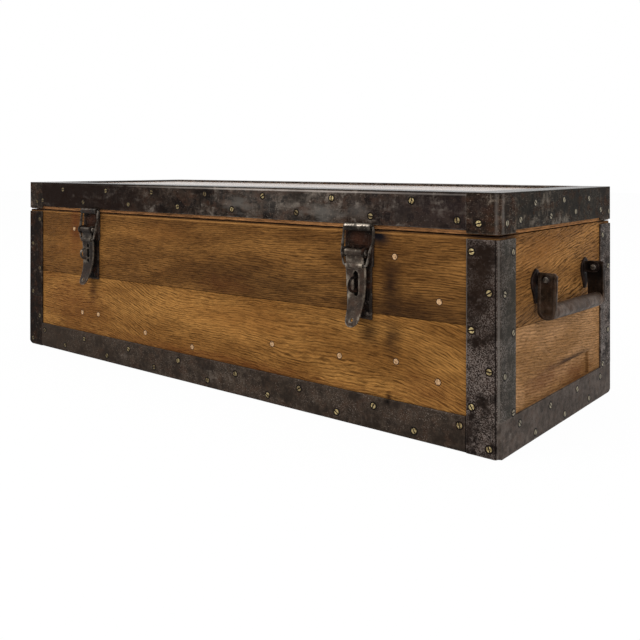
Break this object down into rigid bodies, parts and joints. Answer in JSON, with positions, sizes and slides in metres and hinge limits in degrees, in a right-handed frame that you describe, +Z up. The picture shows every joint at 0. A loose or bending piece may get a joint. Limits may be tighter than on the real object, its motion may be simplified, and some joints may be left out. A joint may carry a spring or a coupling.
{
  "type": "steel-bound oak chest",
  "caption": "Long rectangular oak storage box bound in dark steel angle, with a hinged lid, toggle latches with padlock staples on the front and a drop handle at each end.",
  "frame": {"origin": "middle of the box's footprint, on the floor", "axes": "+X along the box to the end that shows in the picture, -Y out of the front with the latches, +Z up"},
  "size_m": [1.006, 0.3965, 0.3],
  "materials": {
    "golden_oak": "oiled oak, open grain",
    "brown_oak": "dark oiled oak, open grain",
    "steel_binding": "browned and pitted, rubbed bright on the bends",
    "steel_fittings": "browned, smooth",
    "worn_steel": "worn to grey metal on high spots",
    "brass_screws": "dulled brass",
    "oak_plugs": "pale end grain"
  },
  "bodies": {
    "body": {"front_lower_board": "golden_oak", "front_upper_board": "brown_oak", "back_lower_board": "golden_oak", "back_upper_board": "brown_oak", "left_end_lower_board": "golden_oak", "left_end_upper_board": "brown_oak", "right_end_lower_board": "golden_oak", "right_end_upper_board": "brown_oak", "bottom_board_front": "brown_oak", "bottom_board_back": "brown_oak", "corner_angle_front_left": "steel_binding", "corner_angle_front_right": "steel_binding", "corner_angle_back_left": "steel_binding", "corner_angle_back_right": "steel_binding", "base_angle_front": "steel_binding", "base_angle_back": "steel_binding", "base_angle_left": "steel_binding", "base_angle_right": "steel_binding", "left_latch_plate": "steel_fittings", "left_latch_pin": "worn_steel", "left_latch_staple": "worn_steel", "left_hinge_body_leaf": "steel_fittings", "left_hinge_pin": "worn_steel", "left_handle_bracket_front": "steel_fittings", "left_handle_bracket_back": "steel_fittings", "left_handle_pin_front": "worn_steel", "left_handle_pin_back": "worn_steel", "right_latch_plate": "steel_fittings", "right_latch_pin": "worn_steel", "right_latch_staple": "worn_steel", "right_hinge_body_leaf": "steel_fittings", "right_hinge_pin": "worn_steel", "right_handle_bracket_front": "steel_fittings", "right_handle_bracket_back": "steel_fittings", "right_handle_pin_front": "worn_steel", "right_handle_pin_back": "worn_steel"},
    "lid": {"lid_board_front": "brown_oak", "lid_board_back": "brown_oak", "lid_rim_front": "golden_oak", "lid_rim_back": "golden_oak", "lid_rim_left": "golden_oak", "lid_rim_right": "golden_oak", "lid_strip_front": "steel_binding", "lid_strip_back": "steel_binding", "lid_strip_left": "steel_binding", "lid_strip_right": "steel_binding", "lid_cap_front_left": "steel_binding", "lid_cap_front_right": "steel_binding", "lid_cap_back_left": "steel_binding", "lid_cap_back_right": "steel_binding", "left_latch_keeper": "worn_steel", "right_latch_keeper": "worn_steel", "left_hinge_lid_leaf": "steel_fittings", "right_hinge_lid_leaf": "steel_fittings"},
    "left_lever": {"left_latch_lever": "worn_steel"},
    "right_lever": {"right_latch_lever": "worn_steel"},
    "left_bail": {"left_latch_bail": "worn_steel"},
    "right_bail": {"right_latch_bail": "worn_steel"},
    "left_handle": {"left_handle": "steel_fittings"},
    "right_handle": {"right_handle": "steel_fittings"}
  },
  "joints": [
    {"name": "lid_hinge", "type": "hinge", "parent": "body", "child": "lid", "pos_m": [0, 0.187, 0.25], "axis": [-1, 0, 0], "range_deg": [0, 105]},
    {"name": "left_latch_lever", "type": "hinge", "parent": "body", "child": "left_lever", "pos_m": [-0.284, -0.1905, 0.2215], "axis": [-1, 0, 0], "range_deg": [0, 165]},
    {"name": "left_latch_bail", "type": "hinge", "parent": "left_lever", "child": "left_bail", "pos_m": [-0.284, -0.1895, 0.2045], "axis": [-1, 0, 0], "range_deg": [-165, 0]},
    {"name": "right_latch_lever", "type": "hinge", "parent": "body", "child": "right_lever", "pos_m": [0.284, -0.1905, 0.2215], "axis": [-1, 0, 0], "range_deg": [0, 165]},
    {"name": "right_latch_bail", "type": "hinge", "parent": "right_lever", "child": "right_bail", "pos_m": [0.284, -0.1895, 0.2045], "axis": [-1, 0, 0], "range_deg": [-165, 0]},
    {"name": "left_handle", "type": "hinge", "parent": "body", "child": "left_handle", "pos_m": [-0.4905, 0, 0.193], "axis": [0, 1, 0], "range_deg": [0, 90]},
    {"name": "right_handle", "type": "hinge", "parent": "body", "child": "right_handle", "pos_m": [0.4905, 0, 0.193], "axis": [0, -1, 0], "range_deg": [0, 90]}
  ],
  "couplings": [
    {"joint": "left_latch_bail", "follows": "left_latch_lever", "ratio": -1},
    {"joint": "right_latch_bail", "follows": "right_latch_lever", "ratio": -1}
  ]
}
